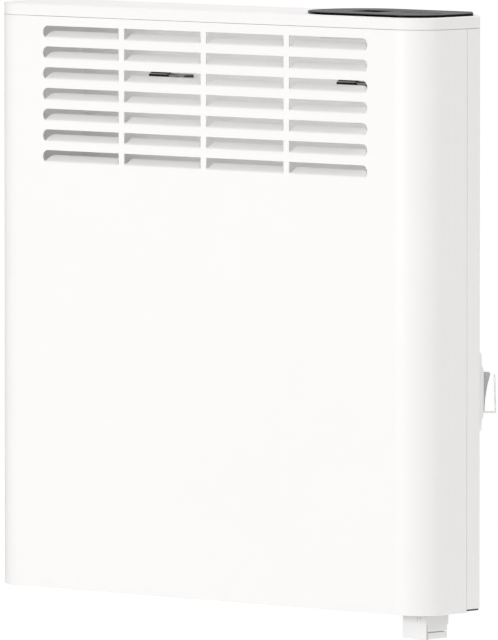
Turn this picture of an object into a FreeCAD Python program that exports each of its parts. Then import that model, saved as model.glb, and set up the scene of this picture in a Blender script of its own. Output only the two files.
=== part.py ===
import FreeCAD, Part
import Sketcher
import math
import os

# Wall convector heater.
# Sub-parts are drawn in the heater's own frame: X to the right, Y from the front
# face towards the wall, Z up from the lower edge of the front cover. Placements
# then carry them to the frame of the wall bracket: origin in the middle of its four
# holes on the wall plane, Y = 0 at the wall and the front at negative Y.

V = FreeCAD.Vector
doc = FreeCAD.newDocument("convector_heater")
dims = doc.addObject("Spreadsheet::Sheet", "dims")

SIZES = [
    ("width", 445.0),
    ("tall", 450.0),
    ("wall_depth", 100.0),
    ("origin_height", 236.0),
    ("corner_radius", 29.5),
    ("seam_depth", 49.0),
    ("side_depth", 64.0),
    ("casing_depth", 86.0),
    ("rear_width", 404.0),
    ("cover_tall", 440.8),
    ("sheet_gauge", 1.0),
    ("shell_bottom", 2.6),
    ("slot_length", 78.6),
    ("slot_rib", 5.6),
    ("slot_tall", 9.6),
    ("slot_pitch", 15.95),
    ("slot_top", 433.5),
    ("louvre_bend", 2.2),
    ("louvre_run", 6.0),
    ("louvre_inset", 4.6),
    ("louvre_end", 8.4),
    ("hem_radius", 0.6),
    ("cap_bottom", 441.05),
    ("cap_wall", 2.0),
    ("panel_rise", 2.0),
    ("panel_left", 81.7),
    ("panel_right", 217.0),
    ("panel_front", 2.0),
    ("panel_rear", 84.0),
    ("display_x", 136.0),
    ("display_y", 40.0),
    ("display_wide", 27.0),
    ("display_deep", 21.0),
    ("key_first", 168.0),
    ("key_y", 44.0),
    ("key_pitch", 14.0),
    ("key_dia", 10.0),
    ("key_gap", 0.3),
    ("switch_height", 166.3),
    ("flange_tall", 60.0),
    ("flange_wide", 22.0),
    ("flange_rise", 1.8),
    ("frame_tall", 39.8),
    ("frame_wide", 17.0),
    ("frame_rise", 3.3),
    ("frame_drop", 1.0),
    ("rocker_wide", 12.0),
    ("rocker_tilt", 9.0),
    ("rocker_pivot", 0.5),
    ("rocker_hole", 31.8),
    ("boot_rise", 12.0),
    ("boot_lean", 0.85),
    ("boot_wall", 0.75),
    ("grille_bottom", 1.3),
    ("grille_gauge", 0.9),
    ("element_y", 43.0),
    ("element_z", 75.0),
    ("element_left", -150.0),
    ("element_right", 140.0),
    ("tube_dia", 8.5),
    ("partition_x", 170.0),
    ("box_left", 170.0),
    ("box_right", 193.7),
    ("box_front", 36.0),
    ("box_rear", 61.5),
    ("box_bottom", -15.4),
    ("lid_top", -16.2),
    ("lid_bottom", -21.0),
    ("gland_x", 181.0),
    ("gland_y", 46.0),
    ("gland_bore", 7.5),
    ("bracket_gauge", 2.0),
    ("hole_spacing", 192.5),
    ("hole_rise", 200.0),
    ("hole_dia", 6.5),
    ("catch_z", 394.2),
    ("catch_y", 93.0),
    ("catch_pin", 3.0),
    ("wire_dia", 2.4),
    ("board_gauge", 1.6),
]
for row, (name, value) in enumerate(SIZES, 1):
    dims.set("A%d" % row, name)
    dims.set("B%d" % row, str(value))
    dims.setAlias("B%d" % row, name)
doc.recompute()


class Size:
    """A number together with the sheet expression that gives it."""

    def __init__(self, value, expr):
        self.value = value
        self.expr = expr

    def _join(self, other, sign, value, swap=False):
        a, b = (other.expr, self.expr) if swap else (self.expr, other.expr)
        return Size(value, "(%s %s %s)" % (a, sign, b))

    def __add__(self, other):
        o = size(other)
        return self._join(o, "+", self.value + o.value)

    def __radd__(self, other):
        return size(other) + self

    def __sub__(self, other):
        o = size(other)
        return self._join(o, "-", self.value - o.value)

    def __rsub__(self, other):
        return size(other) - self

    def __mul__(self, other):
        o = size(other)
        return self._join(o, "*", self.value * o.value)

    def __rmul__(self, other):
        return size(other) * self

    def __truediv__(self, other):
        o = size(other)
        return self._join(o, "/", self.value / o.value)

    def __neg__(self):
        return Size(-self.value, "(0 - %s)" % self.expr)


def size(v):
    if isinstance(v, Size):
        return v
    text = "%.6f" % abs(v)
    return Size(float(v), text if v >= 0 else "(0 - %s)" % text)


def dim(name):
    return Size(float(dims.get(name)), "dims.%s" % name)


def number(v):
    return v.value if isinstance(v, Size) else float(v)


def bind(obj, prop, v):
    if isinstance(v, Size):
        obj.setExpression(prop, v.expr)
    else:
        obj.setExpression(prop, size(v).expr)


WALL = dim("wall_depth")
ORIGIN = dim("origin_height")
HALF = dim("width") / 2
REAR = dim("rear_width") / 2
SEAM = dim("seam_depth")
SIDE = dim("side_depth")
DEEP = dim("casing_depth")
COVER = dim("cover_tall")
TALL = dim("tall")
GAUGE = dim("sheet_gauge")
nodes = []


def keep(obj, label):
    """Names a finished sub-part and carries it to the bracket's frame."""
    obj.Label = label
    bind(obj, "Placement.Base.x", size(0.0))
    bind(obj, "Placement.Base.y", -WALL)
    bind(obj, "Placement.Base.z", -ORIGIN)
    nodes.append((label, obj))
    return obj


# ---- sketch and feature helpers -------------------------------------------------


def body(name):
    return doc.addObject("PartDesign::Body", name)


def plane(b, role):
    return [o for o in b.Origin.OriginFeatures if o.Role == role][0]


def sketch(b, role, offset=0.0, turn=None, at=None):
    """A sketch on an origin plane of the body, moved along the plane's normal."""
    s = b.newObject("Sketcher::SketchObject", b.Name + "_sketch")
    s.AttachmentSupport = [(plane(b, role), "")]
    s.MapMode = "FlatFace"
    if turn is not None:
        s.AttachmentOffset = FreeCAD.Placement(at, turn)
    else:
        bind(s, "AttachmentOffset.Base.z", size(offset))
    doc.recompute()
    return s


def outline(s, points, arcs=None):
    """A closed loop through the points. arcs[i] = (cx, cy, ccw) rounds the run from
    point i to the next one; its centre is held by cx."""
    arcs = arcs or {}
    n = len(points)
    ends = []
    for i in range(n):
        a = V(number(points[i][0]), number(points[i][1]), 0)
        j = (i + 1) % n
        c = V(number(points[j][0]), number(points[j][1]), 0)
        if i in arcs:
            cx, cy, ccw = arcs[i]
            m = V(number(cx), number(cy), 0)
            first, last = (a, c) if ccw else (c, a)
            a1 = math.atan2(first.y - m.y, first.x - m.x)
            a2 = math.atan2(last.y - m.y, last.x - m.x)
            while a2 <= a1:
                a2 += 2 * math.pi
            g = s.addGeometry(Part.ArcOfCircle(Part.Circle(m, V(0, 0, 1), (a - m).Length), a1, a2))
            ends.append((g, 1, 2) if ccw else (g, 2, 1))
        else:
            g = s.addGeometry(Part.LineSegment(a, c))
            ends.append((g, 1, 2))
    cons, binds = [], []
    base = s.ConstraintCount
    for i in range(n):
        j = (i + 1) % n
        cons.append(Sketcher.Constraint("Coincident", ends[i][0], ends[i][2], ends[j][0], ends[j][1]))
    for i in range(n):
        for kind, v in (("DistanceX", points[i][0]), ("DistanceY", points[i][1])):
            binds.append((base + len(cons), v))
            cons.append(Sketcher.Constraint(kind, ends[i][0], ends[i][1], number(v)))
        if i in arcs:
            binds.append((base + len(cons), arcs[i][0]))
            cons.append(Sketcher.Constraint("DistanceX", ends[i][0], 3, number(arcs[i][0])))
    s.addConstraint(cons)
    for k, v in binds:
        if isinstance(v, Size):
            s.setExpression("Constraints[%d]" % k, v.expr)


def circle(s, cx, cy, dia):
    g = s.addGeometry(Part.Circle(V(number(cx), number(cy), 0), V(0, 0, 1), number(dia) / 2))
    base = s.ConstraintCount
    s.addConstraint(
        [
            Sketcher.Constraint("DistanceX", g, 3, number(cx)),
            Sketcher.Constraint("DistanceY", g, 3, number(cy)),
            Sketcher.Constraint("Diameter", g, number(dia)),
        ]
    )
    for k, v in enumerate((cx, cy, dia)):
        if isinstance(v, Size):
            s.setExpression("Constraints[%d]" % (base + k), v.expr)


def rect(s, x1, y1, x2, y2):
    outline(s, [(x1, y1), (x2, y1), (x2, y2), (x1, y2)])


def pad(b, s, length, back=False):
    f = b.newObject("PartDesign::Pad", b.Name + "_pad")
    f.Profile = s
    bind(f, "Length", size(length))
    f.Reversed = back
    s.Visibility = False
    doc.recompute()
    return f


def pocket(b, s, length, back=False):
    f = b.newObject("PartDesign::Pocket", b.Name + "_pocket")
    f.Profile = s
    bind(f, "Length", size(length))
    f.Reversed = back
    s.Visibility = False
    doc.recompute()
    return f


def edges(f, test):
    found = []
    for k, e in enumerate(f.Shape.Edges, 1):
        if test(e):
            found.append("Edge%d" % k)
    return found


def faces(f, test):
    return ["Face%d" % k for k, x in enumerate(f.Shape.Faces, 1) if test(x)]


def upright(e):
    b = e.BoundBox
    return b.XLength < 1e-6 and b.YLength < 1e-6 and b.ZLength > 1e-6


def fillet(b, f, names, radius):
    x = b.newObject("PartDesign::Fillet", b.Name + "_fillet")
    x.Base = (f, names)
    bind(x, "Radius", size(radius))
    doc.recompute()
    return x


def chamfer(b, f, names, length):
    x = b.newObject("PartDesign::Chamfer", b.Name + "_chamfer")
    x.Base = (f, names)
    bind(x, "Size", size(length))
    doc.recompute()
    return x


def shell(b, f, names, wall):
    x = b.newObject("PartDesign::Thickness", b.Name + "_shell")
    x.Base = (f, names)
    bind(x, "Value", size(wall))
    x.Reversed = True
    doc.recompute()
    return x


def axis(b, role):
    return ([o for o in b.Origin.OriginFeatures if o.Role == role][0], [""])


# ---- primitive helpers ----------------------------------------------------------

made = [0]


def name_of(kind):
    made[0] += 1
    return "%s_%d" % (kind, made[0])


def spot(o, x, y, z):
    for k, v in (("x", x), ("y", y), ("z", z)):
        bind(o, "Placement.Base." + k, size(v))


def block(x1, x2, y1, y2, z1, z2):
    o = doc.addObject("Part::Box", name_of("block"))
    bind(o, "Length", size(x2) - x1)
    bind(o, "Width", size(y2) - y1)
    bind(o, "Height", size(z2) - z1)
    spot(o, x1, y1, z1)
    return o


TURN = {
    "x": FreeCAD.Rotation(V(0, 1, 0), 90),
    "y": FreeCAD.Rotation(V(1, 0, 0), -90),
    "z": FreeCAD.Rotation(),
}


def rod(way, x, y, z, length, dia):
    """A cylinder from (x, y, z) along +X, +Y or +Z."""
    o = doc.addObject("Part::Cylinder", name_of("rod"))
    o.Placement = FreeCAD.Placement(V(0, 0, 0), TURN[way])
    bind(o, "Radius", size(dia) / 2)
    bind(o, "Height", size(length))
    spot(o, x, y, z)
    return o


def hexagon(way, x, y, z, length, flats):
    o = doc.addObject("Part::Prism", name_of("hexagon"))
    o.Placement = FreeCAD.Placement(V(0, 0, 0), TURN[way])
    o.Polygon = 6
    bind(o, "Circumradius", size(flats) / 1.7320508)
    bind(o, "Height", size(length))
    spot(o, x, y, z)
    return o


def fuse(*parts):
    o = doc.addObject("Part::MultiFuse", name_of("fuse"))
    o.Shapes = list(parts)
    return o


def cut(base, *tools):
    o = doc.addObject("Part::Cut", name_of("cut"))
    o.Base = base
    o.Tool = tools[0] if len(tools) == 1 else fuse(*tools)
    return o


def group(*parts):
    o = doc.addObject("Part::Compound", name_of("group"))
    o.Links = list(parts)
    return o


def eased(base, radius, test):
    """Rounds the chosen edges of a finished primitive."""
    doc.recompute()
    o = doc.addObject("Part::Fillet", name_of("eased"))
    o.Base = base
    o.Edges = [(k, radius, radius) for k, e in enumerate(base.Shape.Edges, 1) if test(e)]
    return o


def screw(way, x, y, z, length, dia, head_dia, head_tall):
    """Pan head at (x, y, z), shank along the positive axis from under the head, with
    a cross recess left as a slot in the head."""
    step = {"x": V(1, 0, 0), "y": V(0, 1, 0), "z": V(0, 0, 1)}[way]
    head = rod(way, x, y, z, head_tall, head_dia)
    shank = rod(
        way,
        size(x) + step.x * head_tall,
        size(y) + step.y * head_tall,
        size(z) + step.z * head_tall,
        length,
        dia,
    )
    w = head_dia * 0.34
    if way == "z":
        one = block(size(x) - w, size(x) + w, size(y) - 0.35, size(y) + 0.35, size(z) - 0.1, size(z) + 0.6 * head_tall)
        two = block(size(x) - 0.35, size(x) + 0.35, size(y) - w, size(y) + w, size(z) - 0.1, size(z) + 0.6 * head_tall)
    elif way == "x":
        one = block(size(x) - 0.1, size(x) + 0.6 * head_tall, size(y) - w, size(y) + w, size(z) - 0.35, size(z) + 0.35)
        two = block(size(x) - 0.1, size(x) + 0.6 * head_tall, size(y) - 0.35, size(y) + 0.35, size(z) - w, size(z) + w)
    return cut(fuse(head, shank), one, two)


def wire(label, points, bend, dia):
    """Insulated wire: straight runs joined by tangent arcs."""
    pts = [V(*p) for p in points]
    edge_list = []
    start = pts[0]
    for k in range(1, len(pts) - 1):
        a, c, d = pts[k - 1], pts[k], pts[k + 1]
        u = (a - c).normalize()
        w = (d - c).normalize()
        half = math.acos(max(-1.0, min(1.0, u.dot(w)))) / 2
        reach = bend / math.tan(half)
        p1 = c + u * reach
        p2 = c + w * reach
        middle = c + (u + w).normalize() * (bend / math.sin(half) - bend)
        edge_list.append(Part.LineSegment(start, p1).toShape())
        edge_list.append(Part.Arc(p1, middle, p2).toShape())
        start = p2
    edge_list.append(Part.LineSegment(start, pts[-1]).toShape())
    path = Part.Wire(edge_list)
    ring = Part.Wire([Part.makeCircle(dia / 2, pts[0], (pts[1] - pts[0]).normalize())])
    solid = path.makePipeShell([ring], True, False)
    o = doc.addObject("Part::Feature", label)
    o.Shape = solid
    return keep(o, label)


# ---- front cover ----------------------------------------------------------------

b = body("front_cover")
s = sketch(b, "XY_Plane")
rect(s, -HALF, 0, HALF, SEAM)
f = pad(b, s, COVER)
f = fillet(b, f, edges(f, lambda e: upright(e) and abs(e.BoundBox.YMin) < 0.01), dim("corner_radius"))
f = shell(
    b,
    f,
    faces(
        f,
        lambda x: abs(x.BoundBox.ZLength) < 1e-6 or (x.BoundBox.YLength < 1e-6 and x.BoundBox.YMin > 10),
    ),
    GAUGE,
)
# the lower edge is rolled over slightly
f = fillet(
    b,
    f,
    edges(
        f,
        lambda e: abs(e.BoundBox.ZMax) < 1e-6
        and max(e.BoundBox.XLength, e.BoundBox.YLength) > 2
        and (e.BoundBox.YMin < 0.01 or max(e.BoundBox.XMax, -e.BoundBox.XMin) > number(HALF) - 0.01),
    ),
    dim("hem_radius"),
)
# return flanges along the lower and the upper edge
s = sketch(b, "XY_Plane", 2.8)
rect(s, -180, 0.4, 180, 14)
for x in (-150, -50, 50, 150):
    circle(s, x, 8, 4.2)
f = pad(b, s, GAUGE)
s = sketch(b, "XY_Plane", COVER - GAUGE)
rect(s, -180, 0.4, 180, 13)
for x in (-150, 150):
    circle(s, x, 8, 4.2)
f = pad(b, s, GAUGE)
# louvre openings: four per row, only the outer ends of a row are round
PITCH = dim("slot_length") + dim("slot_rib")
TOP = dim("slot_top")
LOW = TOP - dim("slot_tall")
s = sketch(b, "XZ_Plane")
lefts = [-2 * PITCH + dim("slot_rib") / 2 + k * PITCH for k in range(4)]
END = dim("slot_tall") / 2
for k, x1 in enumerate(lefts):
    x2 = x1 + dim("slot_length")
    if k == 0:
        outline(
            s,
            [(x1 + END, LOW), (x2, LOW), (x2, TOP), (x1 + END, TOP)],
            {3: (x1 + END, LOW + END, True)},
        )
    elif k == 3:
        outline(
            s,
            [(x1, LOW), (x2 - END, LOW), (x2 - END, TOP), (x1, TOP)],
            {1: (x2 - END, LOW + END, True)},
        )
    else:
        rect(s, x1, LOW, x2, TOP)
hole = pocket(b, s, 3.0)
p = b.newObject("PartDesign::LinearPattern", "louvre_rows")
p.Originals = [hole]
p.Direction = axis(b, "Z_Axis")
p.Reversed = True
bind(p, "Length", dim("slot_pitch") * 6)
p.Occurrences = 7
b.Tip = p
doc.recompute()
# louvre blades: the lower lip of each opening bent inwards and up
START = lefts[0] + 2.5
FINISH = lefts[3] + dim("slot_length") - 2.5
s = sketch(b, "YZ_Plane", START)
BEND = dim("louvre_bend")
INNER = BEND - 0.9
pts = [(0, LOW - 0.6)]
for a in (0, 15, 30, 45):
    c, d = math.cos(math.radians(a)), math.sin(math.radians(a))
    pts.append((BEND - BEND * c, LOW + BEND * d))
r = math.sqrt(0.5)
RUN = dim("louvre_run")
pts.append((BEND - BEND * r + RUN * r, LOW + BEND * r + RUN * r))
pts.append((BEND - INNER * r + RUN * r, LOW + INNER * r + RUN * r))
for a in (45, 22.5, 0):
    c, d = math.cos(math.radians(a)), math.sin(math.radians(a))
    pts.append((BEND - INNER * c, LOW + INNER * d))
pts.append((BEND - INNER, LOW - 0.6))
outline(s, pts)
blade = pad(b, s, FINISH - START)
# the blades end behind the ribs: slanted ends there, rounded ends at both sides
s = sketch(b, "XZ_Plane", -(GAUGE + 0.02))
TIP = 7.0
INSET = dim("louvre_inset")
for k in range(3):
    x1 = lefts[k] + dim("slot_length")
    x2 = lefts[k + 1]
    outline(s, [(x1 - 0.3, LOW - 0.7), (x2 + 0.3, LOW - 0.7), (x2 + INSET, LOW + TIP), (x1 - INSET, LOW + TIP)])
ROUND = dim("louvre_end") - 2.6
for side, x0 in ((1, lefts[0]), (-1, lefts[3] + dim("slot_length"))):
    outline(
        s,
        [
            (x0 + 2.6 * side, LOW - 0.1),
            (x0 + dim("louvre_end") * side, LOW - 0.1 + ROUND),
            (x0 + dim("louvre_end") * side, LOW + TIP),
            (x0 - 1.0 * side, LOW + TIP),
            (x0 - 1.0 * side, LOW - 0.1),
        ],
        {0: (x0 + dim("louvre_end") * side, LOW - 0.1, side < 0)},
    )
trim = pocket(b, s, 8)
p = b.newObject("PartDesign::LinearPattern", "louvre_blades")
p.Originals = [blade, trim]
p.Direction = axis(b, "Z_Axis")
p.Reversed = True
bind(p, "Length", dim("slot_pitch") * 6)
p.Occurrences = 7
b.Tip = p
doc.recompute()
keep(b, "front_cover")

# ---- rear shell -----------------------------------------------------------------

FLANK = math.degrees(math.atan2(number(HALF - REAR), number(DEEP - SIDE)))
SW = V(number(HALF + REAR) / 2, number(SIDE + DEEP) / 2, number(dim("switch_height")))
TURNED = FreeCAD.Rotation(V(0, 1, 0), FLANK)

b = body("rear_shell")
BOTTOM = dim("shell_bottom")
s = sketch(b, "XY_Plane", BOTTOM)
FRONT = SEAM + 0.3
outline(s, [(-HALF, FRONT), (HALF, FRONT), (HALF, SIDE), (REAR, DEEP), (-REAR, DEEP), (-HALF, SIDE)])
f = pad(b, s, COVER - BOTTOM)
f = shell(
    b,
    f,
    faces(f, lambda x: x.BoundBox.YLength < 1e-6 and x.BoundBox.YMin < number(SEAM) + 1),
    GAUGE,
)
# inlet window and notch for the cable entry box in the lower flange
s = sketch(b, "XY_Plane", 10)
rect(s, -190, 54, 158, 80)
rect(s, dim("box_left") - 0.7, FRONT - 2, HALF - 5.5, dim("box_rear") + 2.5)
pocket(b, s, 9)
# notch for the control unit and two screw holes in the upper flange
s = sketch(b, "XY_Plane", COVER + 3)
rect(s, 92, FRONT - 2, 214, 76)
circle(s, -150, 76, 4.2)
circle(s, 60, 76, 4.2)
pocket(b, s, 8)
# openings for the catches and the lower hooks of the bracket
s = sketch(b, "XZ_Plane", -(DEEP - 3))
CX = dim("hole_spacing") / 2
for side in (-1, 1):
    outline(
        s,
        [
            (CX * side - 33, dim("catch_z") - 9.2),
            (CX * side - 12.4, dim("catch_z") - 9.2),
            (CX * side - 12.4, dim("catch_z") - 4.6),
            (CX * side + 10.0, dim("catch_z") - 4.6),
            (CX * side + 10.0, dim("catch_z") + 1.0),
            (CX * side - 13.0, dim("catch_z") + 1.0),
            (CX * side - 13.0, dim("catch_z") + 2.4),
            (CX * side - 33, dim("catch_z") + 2.4),
        ],
    )
    rect(s, CX * side - 15, 54, CX * side + 15, 66.15)
pocket(b, s, 6)
# opening for the mains switch in the right flank
s = sketch(b, "YZ_Plane", turn=TURNED, at=V(SW.y, SW.z, SW.x))
rect(s, -8, -18.8, 8, 18.8)
pocket(b, s, 4)
# joggled lips that the front cover's sides slide over
s = sketch(b, "XY_Plane", 20)
for side in (-1, 1):
    loop = [
        (HALF - 0.6, FRONT + 0.3),
        (HALF - 0.6, FRONT + 3.7),
        (HALF - 2.2, FRONT + 3.7),
        (HALF - 2.2, FRONT - 13),
        (HALF - 1.3, FRONT - 13),
        (HALF - 1.3, FRONT + 0.3),
    ]
    outline(s, [(x * side, y) for x, y in loop])
pad(b, s, 400)
keep(b, "rear_shell")

# ---- top cover ------------------------------------------------------------------

b = body("top_cover")
CAP = dim("cap_bottom")
s = sketch(b, "XY_Plane", CAP)
outline(s, [(-HALF, 0), (HALF, 0), (HALF, SIDE), (REAR, DEEP), (-REAR, DEEP), (-HALF, SIDE)])
f = pad(b, s, TALL - CAP)
f = fillet(b, f, edges(f, lambda e: upright(e) and abs(e.BoundBox.YMin) < 0.01), dim("corner_radius"))
f = shell(b, f, faces(f, lambda x: x.BoundBox.ZLength < 1e-6 and x.BoundBox.ZMax < number(CAP) + 0.1), dim("cap_wall"))
f = fillet(
    b,
    f,
    edges(f, lambda e: e.BoundBox.ZLength < 1e-6 and abs(e.BoundBox.ZMin - number(TALL)) < 1e-6),
    0.9,
)
s = sketch(b, "XY_Plane", TALL + 1)
rect(s, 104, 20, 206, 68)
pocket(b, s, 6)
# screw bosses
UNDER = TALL - dim("cap_wall")
for x, y in ((-150, 8), (150, 8), (-150, 76), (60, 76)):
    s = sketch(b, "XY_Plane", CAP)
    circle(s, x, y, 7.6)
    circle(s, x, y, 3.4)
    pad(b, s, UNDER - CAP + 0.3)
keep(b, "top_cover")

# ---- control unit ---------------------------------------------------------------

b = body("control_panel")
PL, PR = dim("panel_left"), dim("panel_right")
PF, PB = dim("panel_front"), dim("panel_rear")
s = sketch(b, "XY_Plane", TALL)
outline(s, [(PL, PF), (PR, PF), (PR, SIDE - 1.5), (REAR - 4.0, PB), (PL, PB)])
f = pad(b, s, dim("panel_rise"))
f = fillet(b, f, edges(f, lambda e: upright(e) and e.BoundBox.XMin < number(PL) + 1), (PB - PF) / 2 - 0.05)
f = fillet(
    b, f, edges(f, lambda e: upright(e) and e.BoundBox.XMin > 200 and e.BoundBox.YMin < 10), dim("corner_radius") - 4
)
f = fillet(b, f, edges(f, lambda e: upright(e) and e.BoundBox.XMin > 190 and e.BoundBox.YMin > 55), 7)
f = fillet(
    b,
    f,
    edges(
        f,
        lambda e: e.BoundBox.ZLength < 1e-6 and abs(e.BoundBox.ZMin - number(TALL + dim("panel_rise"))) < 1e-6,
    ),
    0.5,
)
DX, DY = dim("display_x"), dim("display_y")
KY = dim("key_y")
DW, DD = dim("display_wide"), dim("display_deep")
s = sketch(b, "XY_Plane", TALL + dim("panel_rise") + 1)
rect(s, DX - DW / 2 - 0.3, DY - DD / 2 - 0.3, DX + DW / 2 + 0.3, DY + DD / 2 + 0.3)
keys = [dim("key_first") + k * dim("key_pitch") for k in range(3)]
for x in keys:
    circle(s, x, KY, dim("key_dia") + 2 * dim("key_gap"))
pocket(b, s, 6)
POSTS = [(109, 25), (201, 25), (201, 63), (150, 63)]
for x, y in POSTS:
    s = sketch(b, "XY_Plane", TALL - 6.5)
    circle(s, x, y, 6.4)
    circle(s, x, y, 2.9)
    pad(b, s, 6.8)
keep(b, "control_panel")

glass = block(DX - DW / 2, DX + DW / 2, DY - DD / 2, DY + DD / 2, TALL - 0.1, TALL + dim("panel_rise") - 0.02)
keep(eased(glass, 0.15, lambda e: e.BoundBox.ZMin > 451.5), "display_window")

BOARD = TALL - 6.5
module = block(DX - 17, DX + 17, DY - 12.0, DY + 12.0, BOARD, TALL - 0.3)
pins = [block(DX - 14 + 4 * k, DX - 13.2 + 4 * k, DY - 13.3, DY - 12.5, BOARD, BOARD + 1.2) for k in range(8)]
ridge = block(DX - 15.5, DX + 15.5, DY - 14.1, DY - 11.0, BOARD, BOARD + 0.8)
keep(fuse(module, ridge, *pins), "display_module")

pcb = block(105, 205, 21, 67, BOARD - dim("board_gauge"), BOARD)
keep(cut(pcb, *[rod("z", x, y, BOARD - 4, 6, 3.2) for x, y in POSTS]), "control_board")

caps = []
for x in keys:
    base = block(x - 3, x + 3, KY - 3, KY + 3, BOARD, BOARD + 3.4)
    legs = [block(x - 4.2, x + 4.2, KY + v - 0.4, KY + v + 0.4, BOARD, BOARD + 0.5) for v in (-2.2, 2.2)]
    caps.append(cut(fuse(base, *legs), rod("z", x, KY, BOARD + 1.1, 4, 3.6)))
keep(group(*caps), "key_switches")

for label, x in zip(("menu_key", "minus_key", "plus_key"), keys):
    b = body(label)
    s = sketch(b, "XY_Plane", TALL - 0.4)
    circle(s, x, KY, dim("key_dia"))
    f = pad(b, s, 2.5)
    top = number(TALL) + 2.1
    f = fillet(b, f, edges(f, lambda e: e.BoundBox.ZLength < 1e-6 and abs(e.BoundBox.ZMin - top) < 1e-6), 0.7)
    # the finger mark: a bar, a minus or a plus sunk in the top
    s = sketch(b, "XY_Plane", top + 1)
    if label == "menu_key":
        for v in (-1.6, 0, 1.6):
            rect(s, x - 2.2, KY + v - 0.3, x + 2.2, KY + v + 0.3)
    elif label == "minus_key":
        rect(s, x - 2.2, KY - 0.35, x + 2.2, KY + 0.35)
    else:
        q = [(2.2, 0.35), (0.35, 0.35), (0.35, 2.2), (-0.35, 2.2), (-0.35, 0.35), (-2.2, 0.35)]
        q += [(-2.2, -0.35), (-0.35, -0.35), (-0.35, -2.2), (0.35, -2.2), (0.35, -0.35), (2.2, -0.35)]
        outline(s, [(x + u, KY + v) for u, v in q])
    pocket(b, s, 1.25)
    s = sketch(b, "XY_Plane", TALL - 1.6)
    circle(s, x, KY, 12.4)
    pad(b, s, 1.3)
    s = sketch(b, "XY_Plane", TALL - 4.0)
    circle(s, x, KY, 3.0)
    pad(b, s, 2.6)
    keep(b, label)

TRAY = TALL - 19
outer = block(102.5, 207.5, 18.5, 69.5, TRAY, TALL - 2.4)
inner = block(104.1, 205.9, 20.1, 67.9, TRAY + 1.6, TALL + 5)
tray = fuse(
    cut(outer, inner),
    *[rod("z", x, y, TRAY + 0.8, number(BOARD - dim("board_gauge") - TRAY) - 0.8, 6.4) for x, y in POSTS],
    *[rod("z", x, y, TRAY + 0.8, 4.0, 8.6) for x, y in POSTS],
)
tools = [rod("z", x, y, TRAY - 2, 30, 3.2) for x, y in POSTS]
tools += [rod("z", x, y, TRAY - 1, 3.5, 5.9) for x, y in POSTS]
tools.append(rod("z", 190, 50, TRAY - 2, 6, 8))
keep(cut(tray, *tools), "control_tray")
keep(group(*[screw("z", x, y, TRAY + 0.5, 14.5, 2.7, 5.4, 1.95) for x, y in POSTS]), "tray_screws")

# ---- mains switch, drawn square to the flank ---------------------------------------


def on_flank(obj, label, tilt=0.0):
    """Carries a part from the switch's own frame (X out of the flank, Z up) to its
    place on the right flank."""
    obj.Label = label
    bind(obj, "Placement.Base.x", (HALF + REAR) / 2)
    bind(obj, "Placement.Base.y", (SIDE + DEEP) / 2 - WALL)
    bind(obj, "Placement.Base.z", dim("switch_height") - ORIGIN)
    bind(obj, "Placement.Rotation.Angle", size(FLANK))
    nodes.append((label, obj))


b = body("switch_bezel")
b.Placement = FreeCAD.Placement(V(0, 0, 0), FreeCAD.Rotation(V(0, 0, 1), 10))
FW, FT = dim("flange_wide") / 2, dim("flange_tall") / 2
s = sketch(b, "YZ_Plane", 0.05)
DROP = dim("frame_drop")
rect(s, -FW, -FT - DROP, FW, FT - DROP)
f = pad(b, s, dim("flange_rise"))


def along_x(e):
    x = e.BoundBox
    return x.YLength < 1e-6 and x.ZLength < 1e-6


f = fillet(b, f, edges(f, along_x), 9.5)
f = fillet(
    b,
    f,
    edges(f, lambda e: e.BoundBox.XLength < 1e-6 and e.BoundBox.XMin > 1),
    1.5,
)
GW, GT = dim("frame_wide") / 2, dim("frame_tall") / 2
RISE = dim("frame_rise")
s = sketch(b, "XZ_Plane", -GW)
# the frame's ends sweep up from the flange in a flat arc
FLAT = GT - 4.9
BOW = 13.79
outline(
    s,
    [
        (0.6, -GT - DROP),
        (RISE - 0.9, -GT - DROP),
        (RISE, -FLAT - DROP),
        (RISE, FLAT - DROP),
        (RISE - 0.9, GT - DROP),
        (0.6, GT - DROP),
    ],
    {1: (RISE - BOW, -FLAT - DROP, True), 3: (RISE - BOW, FLAT - DROP, True)},
)
f = pad(b, s, dim("frame_wide"))
out = number(RISE)
f = fillet(
    b,
    f,
    edges(
        f,
        lambda e: e.BoundBox.YLength < 1e-6
        and e.BoundBox.XMin > out - 1.0
        and e.BoundBox.ZLength > 3
        and abs(abs(e.BoundBox.YMin) - number(GW)) < 1e-6,
    ),
    0.45,
)
s = sketch(b, "YZ_Plane", -9)
rect(s, -7.7, -18.4, 7.7, 18.4)
f = pad(b, s, 9.3)
RW = dim("rocker_wide") / 2 + 0.35
s = sketch(b, "YZ_Plane", 6)
rect(s, -RW, -dim("rocker_hole") / 2, RW, dim("rocker_hole") / 2)
pocket(b, s, 20)
s = sketch(b, "XZ_Plane", 7.65)
circle(s, dim("rocker_pivot"), 0, 2.44)
pocket(b, s, 15.3)
on_flank(b, "switch_bezel")

b = body("switch_rocker")
s = sketch(b, "XZ_Plane", -dim("rocker_wide") / 2)
prof = [(5.9, 14.84), (-2.5, 14.0), (-5.0, 5.0), (-5.0, -5.0), (-2.5, -14.0), (5.9, -14.84)]
sag = 1.1
rad = (14.84 ** 2 + sag ** 2) / (2 * sag)
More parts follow.
